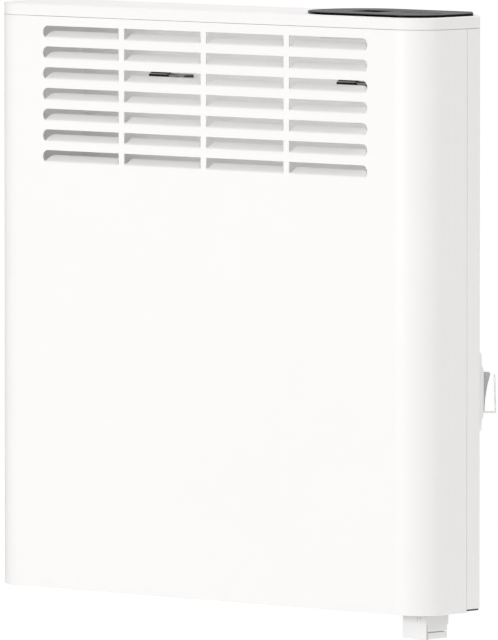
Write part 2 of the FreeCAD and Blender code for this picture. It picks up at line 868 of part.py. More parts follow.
# the finger face is hollow: an arc centred well outside
outline(s, prof, {5: (5.9 - sag + rad, 0, False)})
f = pad(b, s, dim("rocker_wide"))
f = fillet(
    b,
    f,
    edges(f, lambda e: e.BoundBox.XLength < 1e-6 and e.BoundBox.ZLength < 1e-6 and e.BoundBox.XMin > 5),
    0.8,
)
s = sketch(b, "XZ_Plane", 12)
circle(s, 0, 0, 2.5)
pocket(b, s, 24)
ROCK = FreeCAD.Rotation(V(0, 0, 1), FLANK).multiply(FreeCAD.Rotation(V(0, 1, 0), number(dim("rocker_tilt"))))
piv = FreeCAD.Rotation(V(0, 0, 1), FLANK).multVec(V(number(dim("rocker_pivot")), 0, 0))
b.Placement = FreeCAD.Placement(
    V(SW.x + piv.x, SW.y + piv.y - number(WALL), SW.z - number(ORIGIN)), ROCK
)
b.Label = "switch_rocker"
nodes.append(("switch_rocker", b))


def flank_group(obj, label):
    obj.Placement = FreeCAD.Placement(V(0, 0, 0), FreeCAD.Rotation(V(0, 0, 1), 10))
    on_flank(obj, label)


flank_group(group(rod("y", dim("rocker_pivot"), -7.55, 0, 15.1, 2.4)), "rocker_pin")

case = cut(
    fuse(block(-30, -9.3, -7, 7, -17, 17), block(-14, -9.3, -7.5, 7.5, -6, 6)),
    block(-16, -9, -5.4, 5.4, -15.2, 15.2),
)
flank_group(case, "switch_body")
blades = []
for z in (-10, 10):
    for y in (-3.4, 3.4):
        blades.append(cut(block(-39, -30.1, y - 0.4, y + 0.4, z - 3.1, z + 3.1), rod("y", -36, y - 2, z, 4, 1.8)))
flank_group(group(*blades), "switch_terminals")

BW = dim("rocker_wide") / 2 + 0.5 + dim("boot_wall")
BT = dim("rocker_hole") / 2 + dim("boot_wall")
FOOT = RISE + 0.05


def boot_form(name, inset, foot):
    """The boot's outer or inner form: a cap with a leaning outer face."""
    b = body(name)
    s = sketch(b, "XZ_Plane", inset - BW)
    front = dim("boot_rise") - inset
    end = BT - inset
    # the upper end leans in from the frame to the outer face
    lean = (front - foot) * 0.19
    outline(s, [(foot, -end), (front + dim("boot_lean"), -end), (front, end - lean), (foot, end)])
    f = pad(b, s, 2 * (BW - inset))
    f = fillet(
        b, f, edges(f, lambda e: e.BoundBox.XMin > 10 and e.BoundBox.ZLength < 1e-6 and e.BoundBox.ZMin > 5), 2.4 - inset
    )
    fillet(b, f, edges(f, along_x), 1.2 - inset)
    return b


boot = cut(boot_form("boot_outer", size(0.0), FOOT), boot_form("boot_inner", dim("boot_wall"), FOOT - 1))
flank_group(boot, "switch_boot")

# ---- bottom inlet grille ----------------------------------------------------------

b = body("inlet_grille")
GB = dim("grille_bottom")
s = sketch(b, "XY_Plane", GB)
EDGE = HALF - 1.4
outline(
    s,
    [
        (-EDGE, 1.4),
        (EDGE, 1.4),
        (EDGE, SEAM + 0.3),
        (HALF - 0.6, SEAM + 0.3),
        (HALF - 0.6, SIDE - 0.6),
        (REAR - 0.6, DEEP - 0.6),
        (-REAR + 0.6, DEEP - 0.6),
        (-HALF + 0.6, SIDE - 0.6),
        (-HALF + 0.6, SEAM + 0.3),
        (-EDGE, SEAM + 0.3),
    ],
)
f = pad(b, s, dim("grille_gauge"))
f = fillet(b, f, edges(f, lambda e: upright(e) and e.BoundBox.YMin < 2), dim("corner_radius") - 1.4)
s = sketch(b, "XY_Plane", 8)
rect(s, dim("box_left") - 0.6, dim("box_front") - 0.6, dim("box_right") + 0.6, dim("box_rear") + 0.6)
for x in (-150, -50, 50, 150):
    circle(s, x, 8, 4.2)
pocket(b, s, 12)
s = sketch(b, "XY_Plane", 8)
rect(s, -196, 16, -114, 22)
hole = pocket(b, s, 12)
p = b.newObject("PartDesign::LinearPattern", "inlet_slots")
p.Originals = [hole]
p.Direction = axis(b, "X_Axis")
p.Length = 88 * 3
p.Occurrences = 4
p.Direction2 = axis(b, "Y_Axis")
p.Length2 = 10.4 * 6
p.Occurrences2 = 7
b.Tip = p
doc.recompute()
keep(b, "inlet_grille")
keep(group(*[screw("z", x, 8, 0.0, 9, 3.5, 7.0, 1.25) for x in (-150, -50, 50, 150)]), "cover_screws")
keep(
    group(*[screw("z", x, y, COVER - GAUGE - 2.1, 7.4, 3.2, 6.4, 2.05) for x, y in ((-150, 8), (150, 8), (-150, 76), (60, 76))]),
    "top_screws",
)

# ---- heating element ----------------------------------------------------------------

EY, EZ = dim("element_y"), dim("element_z")
EL, ER = dim("element_left"), dim("element_right")
b = body("heating_element")
s = sketch(b, "YZ_Plane", EL)
arm, long_arm, lean = 1.5, 36.0, 38.0
c, d = math.cos(math.radians(lean)), math.sin(math.radians(lean))
# four arms of the extruded X, each 3 mm thick
tips = []
for sy, sz in ((1, 1), (-1, 1), (-1, -1), (1, -1)):
    u = (c * sy, d * sz)
    w = (-u[1], u[0])
    tips.append(
        (
            (u[0] * long_arm - w[0] * arm, u[1] * long_arm - w[1] * arm),
            (u[0] * long_arm + w[0] * arm, u[1] * long_arm + w[1] * arm),
        )
    )
roots = [(0, arm / c), (-arm / d, 0), (0, -arm / c), (arm / d, 0)]
loop = []
for (t1, t2), r0 in zip(tips, roots):
    loop += [t1, t2, r0]
outline(s, [(EY + y, EZ + z) for y, z in loop])
f = pad(b, s, ER - EL)
s = sketch(b, "YZ_Plane", EL)
circle(s, EY, EZ, 17)
f = pad(b, s, ER - EL)
# two short ribs across each arm
for reach in (18.0, 27.0):
    s = sketch(b, "YZ_Plane", EL)
    for sy, sz in ((1, 1), (-1, 1), (-1, -1), (1, -1)):
        u = (c * sy, d * sz)
        w = (-u[1], u[0])
        q = [(-1.0, -7.0), (1.0, -7.0), (1.0, 7.0), (-1.0, 7.0)]
        outline(
            s,
            [(EY + u[0] * (reach + a) + w[0] * g, EZ + u[1] * (reach + a) + w[1] * g) for a, g in q],
        )
    f = pad(b, s, ER - EL)
s = sketch(b, "YZ_Plane", ER + 2)
circle(s, EY, EZ, dim("tube_dia") + 0.1)
pocket(b, s, ER - EL + 6)
keep(b, "heating_element")

keep(group(rod("x", -176, EY, EZ, 364, dim("tube_dia"))), "heater_tube")
bushes = []
for x, way in ((-171, 1), (155, -1)):
    sleeve = rod("x", x, EY, EZ, 12, 15.6)
    collar = rod("x", x + (6.6 if way > 0 else 1.4), EY, EZ, 4, 22)
    bushes.append(cut(fuse(sleeve, collar), rod("x", x - 2, EY, EZ, 20, dim("tube_dia") + 0.1)))
keep(group(*bushes), "element_bushes")
ends = [
    fuse(rod("x", -190, EY, EZ, 13.9, 3.2), rod("x", -180.5, EY, EZ, 4.4, 6.5)),
    fuse(rod("x", 188.1, EY, EZ, 13.9, 3.2), rod("x", 188.1, EY, EZ, 4.4, 6.5)),
]
keep(group(*ends), "element_terminals")
for label, x, way in (("element_bracket_left", -166.0, 1), ("element_bracket_right", 161.0, -1)):
    web = block(x, x + 1, 24, DEEP - 1.1, 45, 105)
    foot = block(x if way > 0 else x - 13, x + 14 if way > 0 else x + 1, DEEP - 2.1, DEEP - 1.1, 45, 105)
    keep(cut(fuse(web, foot), rod("x", x - 3, EY, EZ, 8, 16.2)), label)

sheet_back = block(-145, 140, 76, 76.8, 20, 250)
legs = [block(-145, -144.2, 76, DEEP - 1.1, 20, 250), block(139.2, 140, 76, DEEP - 1.1, 20, 250)]
feet = [block(-145, -136, DEEP - 1.9, DEEP - 1.1, 20, 250), block(131, 140, DEEP - 1.9, DEEP - 1.1, 20, 250)]
keep(fuse(sheet_back, *legs, *feet), "heat_shield")

disc = fuse(
    rod("y", 60, 64, 190, 11.9, 15.4),
    block(48, 72, 74.9, 75.9, 184, 196),
    rod("y", 60, 71, 190, 3.5, 17),
)
keep(disc, "thermal_cutout")
keep(
    group(
        cut(block(53.6, 54.4, 57.9, 63.9, 187, 193), rod("x", 52, 60, 190, 4, 1.6)),
        cut(block(65.6, 66.4, 57.9, 63.9, 187, 193), rod("x", 64, 60, 190, 4, 1.6)),
    ),
    "cutout_terminals",
)

# ---- partition and electrical side ----------------------------------------------------

PX = dim("partition_x")
web = block(PX, PX + GAUGE, 4, DEEP - 1.1, 14, 424)
foot = block(PX, PX + 11, DEEP - 2.1, DEEP - 1.1, 30, 400)
tools = [rod("x", PX - 5, EY, EZ, 12, 28), rod("x", PX - 5, 48, 204, 12, 9)]
keep(cut(fuse(web, foot), *tools), "partition_wall")

PB1, PB2 = PX + GAUGE + 5.0, PX + GAUGE + 5.0 + dim("board_gauge")
HOLES = [(15, 221), (53, 221), (15, 329), (53, 329)]
keep(
    cut(block(PB1, PB2, 10, 58, 215, 335), *[rod("x", PB1 - 2, y, z, 6, 3.2) for y, z in HOLES]),
    "power_board",
)
keep(
    group(
        *[
            cut(hexagon("x", PX + GAUGE + 0.05, y, z, 4.9, 6.0), rod("x", PX, y, z, 12, 2.9))
            for y, z in HOLES
        ]
    ),
    "board_standoffs",
)
bolts = []
for y, z in HOLES:
    head = rod("x", PB2 + 0.02, y, z, 1.8, 5.2)
    shank = rod("x", PX + GAUGE + 1.0, y, z, number(PB2) - number(PX) - 1.5, 2.7)
    bolts.append(
        cut(
            fuse(head, shank),
            block(PB2 + 0.8, PB2 + 4, y - 1.8, y + 1.8, z - 0.3, z + 0.3),
            block(PB2 + 0.8, PB2 + 4, y - 0.3, y + 0.3, z - 1.8, z + 1.8),
        )
    )
keep(group(*bolts), "board_screws")
ON = PB2 + 0.02
keep(
    eased(block(ON, ON + 15, 22, 34.5, 286, 314), 0.6, lambda e: e.BoundBox.XMin > number(ON) + 1),
    "heater_relay",
)
core = fuse(block(ON, ON + 17, 24, 46, 246, 266), block(ON + 3, ON + 14, 22, 48, 249, 263))
keep(core, "board_transformer")
keep(
    group(
        rod("x", ON, 44, 300, 16, 10),
        rod("x", ON, 44, 313, 12, 8),
        eased(block(ON, ON + 12, 20, 38, 270, 277), 0.8, lambda e: e.BoundBox.XMin > number(ON) + 1),
    ),
    "board_capacitors",
)
strip = block(ON, ON + 11, 17, 49.5, 225, 236)
holes = [rod("z", ON + 6, 20 + 5.3 * k, 224, 6, 3.0) for k in range(6)]
tops = [rod("x", ON + 7, 20 + 5.3 * k, 232.5, 6, 3.0) for k in range(6)]
keep(cut(strip, *holes, *tops), "board_connector")

strip = block(PX + GAUGE + 0.1, PX + GAUGE + 16, 12, 44, 104, 120)
holes = [rod("z", PX + GAUGE + 12, 17.3 + 10.7 * k, 103, 20, 3.4) for k in range(3)]
tops = [rod("x", PX + GAUGE + 13, 17.3 + 10.7 * k, 112, 6, 4.6) for k in range(3)]
keep(cut(strip, *holes, *tops), "terminal_block")
keep(
    group(
        *[
            cut(
                rod("x", PX + GAUGE + 13.9, 17.3 + 10.7 * k, 112, 1.8, 4.2),
                block(PX + GAUGE + 14.9, PX + GAUGE + 17, 15.6 + 10.7 * k, 19.0 + 10.7 * k, 111.6, 112.4),
            )
            for k in range(3)
        ]
    ),
    "terminal_screws",
)

stud = fuse(rod("y", 190, 73, 62, number(DEEP) - 1.1 - 73, 4.0), rod("y", 190, DEEP - 2.6, 62, 1.5, 9))
nut = cut(hexagon("y", 190, 78.4, 62, 3.2, 7.0), rod("y", 190, 77, 62, 6, 4.1))
keep(group(stud, nut), "earth_stud")

holder = cut(block(202, 212, 22, 32, 2.4, 16), rod("z", 207, 27, 5, 20, 5.4))
foot = block(198, 216, 20.5, 33.5, 2.4, 4)
keep(fuse(holder, foot), "sensor_holder")
keep(
    eased(group(rod("z", 207, 27, 5.1, 14, 4.8)), 1.6, lambda e: e.BoundBox.ZMin > 15 and e.BoundBox.ZLength < 1e-6),
    "room_sensor",
)

# ---- cable entry ------------------------------------------------------------------------

BL, BR = dim("box_left"), dim("box_right")
BF, BB = dim("box_front"), dim("box_rear")
SKIRT = dim("lid_bottom")
case = fuse(
    block(BL, BR, BF, BB, -10.8, 8),
    block(BL, BR, BF, BB - 1.6, dim("box_bottom"), -10.0),
    block(BL - 3.5, BR + 3.5, BF - 3.5, BB + 5.0, 3.9, 6.0),
    # front skirt with a finger tab, in front of the lid
    block(BL, BR, BF, BF + 1.8, SKIRT, dim("box_bottom") + 0.5),
    block(BL + 14.4, BR, BF, BF + 1.8, SKIRT - 2.4, SKIRT + 0.5),
)
tools = [
    block(BL + 1.8, BR - 1.8, BF + 1.8, BB - 3.4, -30, 20),
    block(BL + 14.6, BL + 15.2, BF - 1, BF + 0.3, -7.4, -0.5),
    block(BL + 17.6, BL + 18.0, BF - 1, BF + 0.4, -6.0, -0.5),
    block(BR - 3.0, BR + 1, BF + 0.5, BF + 1.35, -30, -10.6),
]
keep(cut(case, *tools), "cable_entry_box")
LIP = BF + 2.1
lid = fuse(
    block(BL, BR, LIP, BB - 1.6, dim("lid_bottom"), dim("lid_top")),
    block(BL + 2.1, BR - 2.1, LIP, BB - 3.7, dim("lid_top") - 1, dim("lid_top") + 3.5),
)
tools = [
    block(BL + 3.6, BR - 3.6, BF + 3.6, BB - 5.2, dim("lid_top") - 1.5, 5),
    rod("z", dim("gland_x"), dim("gland_y"), -30, 30, 10.6),
]
keep(cut(lid, *tools), "cable_entry_lid")
GX, GY = dim("gland_x"), dim("gland_y")
gland = fuse(
    rod("z", GX, GY, -26.6, 12.4, 10.2),
    rod("z", GX, GY, dim("lid_top") - 1.4, 1.8, 12.5),
    rod("z", GX, GY, -23.2, 2.1, 12.6),
)
keep(cut(gland, rod("z", GX, GY, -30, 30, dim("gland_bore"))), "cable_gland")

# ---- wall bracket --------------------------------------------------------------------------

b = body("wall_bracket")
BG = dim("bracket_gauge")
s = sketch(b, "XZ_Plane", -(WALL - BG))
rect(s, -(CX + 18), 58, CX + 18, 412)
rect(s, -(CX - 18), 92, CX - 18, 378)
for sx in (-1, 1):
    for sz in (-1, 1):
        circle(s, CX * sx, ORIGIN + dim("hole_rise") / 2 * sz, dim("hole_dia"))
f = pad(b, s, BG, back=True)
f = fillet(
    b,
    f,
    edges(
        f,
        lambda e: e.BoundBox.XLength < 1e-6 and e.BoundBox.ZLength < 1e-6 and e.BoundBox.YLength > 1e-6,
    ),
    6,
)
CY, CZ = dim("catch_y"), dim("catch_z")
for side in (-1, 1):
    # lower hook with an upturned lip
    s = sketch(b, "YZ_Plane", CX * side - 14)
    outline(s, [(80, 64), (WALL - 1, 64), (WALL - 1, 66), (82, 66), (82, 74), (80, 74)])
    pad(b, s, 28)
    # ears that hold the catch's pin
    for off in (-17.2, 10.6):
        s = sketch(b, "YZ_Plane", CX * side + off)
        outline(s, [(CY - 4.5, CZ - 4.5), (WALL - 1, CZ - 9), (WALL - 1, CZ + 9), (CY - 4.5, CZ + 4.5)])
        circle(s, CY, CZ, dim("catch_pin") + 0.06)
        pad(b, s, 2.0)
keep(b, "wall_bracket")

for label, side in (("catch_left", -1), ("catch_right", 1)):
    b = body(label)
    s = sketch(b, "YZ_Plane", CX * side - 13.8)
    outline(s, [(79.0, CZ - 0.65), (CY, CZ - 0.65), (CY, CZ + 0.25), (79.0, CZ + 0.25)])
    pad(b, s, 23.0)
    s = sketch(b, "YZ_Plane", CX * side - 13.8)
    circle(s, CY, CZ, 5.2)
    pad(b, s, 23.0)
    # thumb tab with the barb that holds behind the rear panel
    s = sketch(b, "YZ_Plane", CX * side - 30.8)
    outline(
        s,
        [
            (79.0, CZ - 1.5),
            (84.4, CZ - 1.5),
            (84.4, CZ + 4.2),
            (82.6, CZ + 4.2),
            (81.2, CZ + 1.7),
            (80.6, CZ + 1.25),
            (79.0, CZ + 0.35),
        ],
    )
    pad(b, s, 17.4)
    s = sketch(b, "YZ_Plane", CX * side + 20)
    circle(s, CY, CZ, dim("catch_pin") + 0.1)
    pocket(b, s, 60)
    keep(b, label)
keep(
    group(*[rod("x", CX * side - 18.4, CY, CZ, 32.2, dim("catch_pin")) for side in (-1, 1)]),
    "catch_pins",
)
pads = []
for x in (-165, 165):
    pads.append(fuse(rod("y", x, DEEP + 0.02, 36, 13.98, 16), rod("y", x, DEEP + 0.02, 36, 4, 20)))
keep(group(*pads), "wall_spacers")

# ---- wires -----------------------------------------------------------------------------------

WD = float(dims.get("wire_dia"))
wire(
    "live_wire",
    [(183, 17.3, 116), (183, 17.3, 128), (178, 17.3, 140), (178, 17.3, 156.3), (178, 38.5, 156.3), (185.5, 45.4, 156.3)],
    4.0,
    WD,
)
wire(
    "switched_wire",
    [(185.5, 45.4, 176.3), (178, 38.5, 176.3), (178, 20, 176.3), (183.6, 20, 196), (183.6, 20, 228.4)],
    4.0,
    WD,
)
wire("neutral_wire", [(183, 28, 116), (183, 28, 200), (183.6, 30.6, 212), (183.6, 30.6, 228.4)], 4.5, WD)
wire(
    "earth_wire",
    [(183, 38.7, 116), (183, 38.7, 128), (199, 60, 128), (199, 75.5, 62), (193.6, 75.5, 62)],
    4.0,
    WD,
)
wire(
    "element_wire_right",
    [(183.6, 35.9, 228.4), (183.6, 35.9, 203), (208, 40, 203), (208, 43, 75), (202.4, 43, 75)],
    3.5,
    WD,
)
wire(
    "cutout_wire",
    [(183.6, 46.5, 228.4), (183.6, 46.5, 214), (183.6, 48, 204), (66, 48, 204), (66, 48, 190), (66, 57.6, 190)],
    4.0,
    WD,
)
wire(
    "element_wire_left",
    [(54, 57.6, 190), (54, 48, 190), (54, 48, 140), (-198, 48, 140), (-198, 43, 75), (-190.4, 43, 75)],
    4.0,
    WD,
)
wire("control_cable", [(190, 50, 440), (190, 50, 385), (186, 40, 360), (186, 40, 318)], 8.0, 4.0)

# ---- checks and files --------------------------------------------------------------------------

doc.recompute()
bad = [(o.Name, [x.Name for x in o.OutList]) for o in doc.Objects if "Invalid" in o.State or "Error" in o.State]
if bad:
    raise RuntimeError("objects that failed: %s" % bad)
os.makedirs("parts", exist_ok=True)
for label, obj in nodes:
    shape = obj.Shape
    if shape.isNull() or not shape.isValid() or not shape.Solids:
        raise RuntimeError("bad shape: %s" % label)
    shape.exportStep("parts/%s.step" % label)
    bb = shape.BoundBox
    print(
        "%-22s solids %2d  vol %10.1f  x %7.1f %7.1f  y %7.1f %7.1f  z %7.1f %7.1f"
        % (label, len(shape.Solids), shape.Volume, bb.XMin, bb.XMax, bb.YMin, bb.YMax, bb.ZMin, bb.ZMax)
    )
print("nodes", len(nodes))
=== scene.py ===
import math

import bpy
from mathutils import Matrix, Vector

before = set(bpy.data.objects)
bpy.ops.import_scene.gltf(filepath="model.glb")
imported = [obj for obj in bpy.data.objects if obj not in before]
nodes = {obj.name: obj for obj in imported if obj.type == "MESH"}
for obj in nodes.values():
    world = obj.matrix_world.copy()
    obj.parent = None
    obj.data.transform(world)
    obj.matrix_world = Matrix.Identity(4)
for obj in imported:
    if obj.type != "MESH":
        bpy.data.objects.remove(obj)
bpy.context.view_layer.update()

scene = bpy.context.scene


# ---- node helpers ---------------------------------------------------------------


class Mat:
    """A Principled material with object coordinates, which are metres in the part's frame."""

    def __init__(self, name):
        self.m = bpy.data.materials.new(name)
        self.m.use_nodes = True
        self.t = self.m.node_tree
        self.t.nodes.clear()
        self.out = self.t.nodes.new("ShaderNodeOutputMaterial")
        self.b = self.t.nodes.new("ShaderNodeBsdfPrincipled")
        self.t.links.new(self.b.outputs["BSDF"], self.out.inputs["Surface"])
        self.co = self.t.nodes.new("ShaderNodeTexCoord").outputs["Object"]

    def set(self, **kw):
        for k, v in kw.items():
            self.b.inputs[k.replace("_", " ")].default_value = v
        return self

    def link(self, a, b):
        self.t.links.new(a, b)

    def stretch(self, scale):
        n = self.t.nodes.new("ShaderNodeMapping")
        n.inputs["Scale"].default_value = scale
        self.link(self.co, n.inputs["Vector"])
        return n.outputs["Vector"]

    def noise(self, scale, detail=3.0, rough=0.55, at=None):
        n = self.t.nodes.new("ShaderNodeTexNoise")
        n.inputs["Scale"].default_value = scale
        n.inputs["Detail"].default_value = detail
        n.inputs["Roughness"].default_value = rough
        self.link(at or self.co, n.inputs["Vector"])
        return n.outputs["Fac"]

    def cells(self, scale, at=None, edge=False):
        n = self.t.nodes.new("ShaderNodeTexVoronoi")
        n.inputs["Scale"].default_value = scale
        if edge:
            n.feature = "DISTANCE_TO_EDGE"
        self.link(at or self.co, n.inputs["Vector"])
        return n.outputs["Distance"]

    def ramp(self, fac, stops):
        n = self.t.nodes.new("ShaderNodeValToRGB")
        e = n.color_ramp.elements
        while len(e) < len(stops):
            e.new(0.5)
        for k, (p, c) in enumerate(stops):
            e[k].position = p
            e[k].color = (c, c, c, 1) if isinstance(c, float) else (*c, 1)
        self.link(fac, n.inputs["Fac"])
        return n.outputs["Color"]

    def span(self, fac, low, high):
        n = self.t.nodes.new("ShaderNodeMapRange")
        n.inputs["From Min"].default_value = 0.3
        n.inputs["From Max"].default_value = 0.7
        n.inputs["To Min"].default_value = low
        n.inputs["To Max"].default_value = high
        self.link(fac, n.inputs["Value"])
        return n.outputs["Result"]

    def mix(self, fac, a, b):
        n = self.t.nodes.new("ShaderNodeMix")
        n.data_type = "RGBA"
        for k, v in ((6, a), (7, b)):
            if isinstance(v, tuple):
                n.inputs[k].default_value = (*v, 1)
            else:
                self.link(v, n.inputs[k])
        self.link(fac, n.inputs[0])
        return n.outputs[2]

    def times(self, a, b, how="MULTIPLY"):
        n = self.t.nodes.new("ShaderNodeMath")
        n.operation = how
        for k, v in ((0, a), (1, b)):
            if isinstance(v, (int, float)):
                n.inputs[k].default_value = v
            else:
                self.link(v, n.inputs[k])
        return n.outputs[0]

    def colour(self, sock):
        self.link(sock, self.b.inputs["Base Color"])
        return self

    def rough(self, sock):
        self.link(sock, self.b.inputs["Roughness"])
        return self

    def bump(self, height, strength, depth, edge=0.0):
        """Surface relief; edge is the radius that sharp corners are eased to."""
        n = self.t.nodes.new("ShaderNodeBump")
        n.inputs["Strength"].default_value = strength
        n.inputs["Distance"].default_value = depth
        self.link(height, n.inputs["Height"])
        if edge:
            e = self.t.nodes.new("ShaderNodeBevel")
            e.samples = 4
            e.inputs["Radius"].default_value = edge
            self.link(e.outputs["Normal"], n.inputs["Normal"])
        self.link(n.outputs["Normal"], self.b.inputs["Normal"])
        return self

    def axes(self):
        n = self.t.nodes.new("ShaderNodeSeparateXYZ")
        self.link(self.co, n.inputs["Vector"])
        return n.outputs["X"], n.outputs["Y"], n.outputs["Z"]

    def within(self, v, middle, half):
        """1 where v is within half of middle."""
        n = self.t.nodes.new("ShaderNodeMath")
        n.operation = "COMPARE"
        self.link(v, n.inputs[0])
        n.inputs[1].default_value = middle
        n.inputs[2].default_value = half
        return n.outputs[0]

    def facing(self, stops, blend=0.5):
        n = self.t.nodes.new("ShaderNodeLayerWeight")
        n.inputs["Blend"].default_value = blend
        return self.ramp(n.outputs["Facing"], stops)


def shades(c, k):
    return tuple(min(1.0, x * k) for x in c)


def plastic(name, c, rough, grain=2600.0, depth=0.00004, spread=0.05, vary=0.03, edge=0.0):
    """Moulded plastic: spark-eroded grain, faint flow marks, uneven gloss."""
    m = Mat(name)
    flow = m.noise(14.0, 4.0)
    m.colour(m.ramp(flow, [(0.3, shades(c, 1 - vary)), (0.7, shades(c, 1 + vary))]))
    m.rough(m.span(m.noise(90.0, 3.0), rough - spread, rough + spread))
    m.bump(m.noise(grain, 2.0), 0.35, depth, edge)
    return m


def steel(name, c, rough, along=(30.0, 30.0, 900.0)):
    """Plated sheet: drawn lines, cloudy plating and a few darker marks."""
    m = Mat(name)
    lines = m.noise(1.0, 2.0, at=m.stretch(along))
    cloud = m.noise(45.0, 4.0)
    m.colour(m.mix(cloud, shades(c, 0.86), shades(c, 1.08)))
    m.rough(m.span(lines, rough - 0.08, rough + 0.1))
    m.bump(lines, 0.12, 0.00005)
    m.set(Metallic=1.0)
    return m


# ---- materials ------------------------------------------------------------------

# satin powder coat: orange peel over the sheet, slight clouding of the gloss
paint = Mat("white_powder_coat")
cloud = paint.noise(7.0, 3.0)
paint.colour(paint.ramp(cloud, [(0.3, (0.867, 0.858, 0.854)), (0.7, (0.879, 0.870, 0.866))]))
paint.rough(paint.span(paint.noise(60.0, 3.0), 0.41, 0.46))
paint.bump(paint.noise(520.0, 2.0), 0.10, 0.00012, 0.00035)
paint.set(Specular_IOR_Level=0.5)

white = plastic("white_moulding", (0.858, 0.849, 0.846), 0.42, vary=0.008, edge=0.0004)
white.set(Specular_IOR_Level=0.2)
# cable box: a paler copy of the white moulding, painted light that lifts the shade it sits in under the body
box_white_painted_light = plastic("cable_box_moulding_painted_light", (0.930, 0.925, 0.922), 0.46, grain=1900.0, vary=0.008, edge=0.0003)
box_white_painted_light.set(Specular_IOR_Level=0.25)

# dark gloss cap with a trace of wiping on it; the fillet and sides below the top face take a paler satin colour,
# partly a real matt finish and partly a painted highlight along the edge
gloss = Mat("dark_gloss_panel")
smear = gloss.noise(26.0, 5.0, at=gloss.stretch((1.0, 2.2, 1.0)))
px, py, pz = gloss.axes()
upper = gloss.times(pz, 0.21565, "GREATER_THAN")
# paler colour below the top face: satin finish plus a painted highlight on the edge fillet
satin_and_edge_highlight = gloss.ramp(gloss.noise(240.0, 3.0), [(0.3, (0.050, 0.050, 0.0508)), (0.7, (0.062, 0.062, 0.0628))])
polish = gloss.ramp(gloss.noise(240.0, 3.0), [(0.3, (0.0012, 0.0012, 0.0014)), (0.7, (0.0020, 0.0020, 0.0022))])
gloss.colour(gloss.mix(upper, polish, satin_and_edge_highlight))
gloss.rough(gloss.span(smear, 0.16, 0.26))
gloss.bump(gloss.noise(380.0, 2.0), 0.05, 0.00005, 0.0003)
gloss.set(Specular_IOR_Level=0.08)

# smoked window: the unlit picture area shows a little paler than its border
glass = Mat("smoked_display_glass")
gx, gy, gz = glass.axes()
area = glass.times(glass.within(gx, 0.1360, 0.0115), glass.within(gy, -0.0600, 0.0083))
dots = glass.t.nodes.new("ShaderNodeTexBrick")
for k, v in (("Scale", 900.0), ("Mortar Size", 0.05), ("Brick Width", 0.5), ("Row Height", 0.5)):
    dots.inputs[k].default_value = v
dots.inputs["Color1"].default_value = (0.0050, 0.0052, 0.0055, 1)
dots.inputs["Color2"].default_value = (0.0042, 0.0044, 0.0047, 1)
dots.inputs["Mortar"].default_value = (0.0025, 0.0025, 0.0028, 1)
glass.link(glass.co, dots.inputs["Vector"])
glass.colour(glass.mix(area, (0.0012, 0.0012, 0.0014), dots.outputs["Color"]))
glass.rough(glass.span(glass.noise(80.0, 4.0), 0.06, 0.13))
glass.set(Specular_IOR_Level=0.0)

# key caps: satin, with pale paint in the sunk finger marks
key = Mat("key_caps")
kx, ky, kz = key.axes()
wrap = key.t.nodes.new("ShaderNodeMath")
wrap.operation = "WRAP"
key.link(kx, wrap.inputs[0])
wrap.inputs[1].default_value = 0.175
wrap.inputs[2].default_value = 0.161
dx = key.times(wrap.outputs[0], 0.168, "SUBTRACT")
dy = key.times(ky, -0.056, "SUBTRACT")
far = key.times(key.times(dx, dx), key.times(dy, dy), "ADD")
near = key.times(far, 0.0031 ** 2, "LESS_THAN")
mark = key.times(near, key.within(kz, 0.21585, 0.00009))
body_tone = key.ramp(key.noise(40.0, 4.0), [(0.3, (0.018, 0.018, 0.020)), (0.7, (0.023, 0.023, 0.025))])
key.colour(key.mix(mark, body_tone, (0.60, 0.60, 0.58)))
key.rough(key.span(key.noise(90.0), 0.33, 0.43))
key.bump(key.noise(3200.0, 2.0), 0.3, 0.00003, 0.0002)
key.set(Specular_IOR_Level=0.2)

rocker = plastic("rocker_grey", (0.49, 0.49, 0.495), 0.38, grain=3000.0)
grille = plastic("grille_grey", (0.060, 0.060, 0.062), 0.55, vary=0.12)

# blackened spring steel, bare on the tongue; the pale band across the thumb tab's bevel is a painted highlight
spring = Mat("blackened_spring_steel")
sx, sy, sz = spring.axes()
tongue = spring.times(spring.within(sx, -0.0985, 0.0080), spring.within(sx, 0.0965, 0.0105), "ADD")
# pale band at the bevel's height: a painted highlight, not bare metal
bevel = spring.within(sz, 0.1590, 0.00042)
scuff = spring.noise(260.0, 4.0, at=spring.stretch((0.25, 1.0, 1.0)))
bare_and_highlight = spring.times(spring.times(tongue, bevel, "MAXIMUM"), spring.ramp(scuff, [(0.30, 0.75), (0.60, 1.0)]))
spring.colour(spring.mix(bare_and_highlight, (0.006, 0.006, 0.0065), (0.34, 0.34, 0.345)))
spring.rough(spring.span(scuff, 0.42, 0.60))
spring.bump(scuff, 0.15, 0.00004, 0.0002)
spring.set(Specular_IOR_Level=0.25)

pale = plastic("pale_moulding", (0.70, 0.69, 0.66), 0.5)
black_part = plastic("component_black", (0.018, 0.018, 0.02), 0.45, vary=0.2)

# clear soft boot: only its edges and a little haze show
boot = Mat("clear_silicone")
film = boot.noise(160.0, 4.0)
boot.colour(boot.ramp(film, [(0.3, (0.70, 0.71, 0.72)), (0.7, (0.78, 0.79, 0.80))]))
boot.rough(boot.span(film, 0.10, 0.22))
boot.bump(boot.noise(700.0, 2.0), 0.06, 0.00006)
haze = boot.facing([(0.0, 0.012), (0.45, 0.03), (0.8, 0.28), (1.0, 0.60)])
bx, by, bz = boot.axes()
thin = boot.t.nodes.new("ShaderNodeMapRange")
for k, v in (("From Min", -0.0578), ("From Max", -0.0566), ("To Min", 1.0), ("To Max", 0.06)):
    thin.inputs[k].default_value = v
boot.link(bz, thin.inputs["Value"])
haze = boot.times(haze, thin.outputs["Result"])
boot.link(boot.times(haze, boot.span(film, 0.9, 1.1)), boot.b.inputs["Alpha"])
boot.set(IOR=1.41)

rubber = Mat("black_rubber")
dust = rubber.noise(120.0, 5.0)
rubber.colour(rubber.ramp(dust, [(0.35, (0.012, 0.012, 0.012)), (0.75, (0.03, 0.03, 0.03))]))
rubber.rough(rubber.span(dust, 0.6, 0.8))
rubber.bump(rubber.noise(1500.0, 3.0), 0.4, 0.00006)

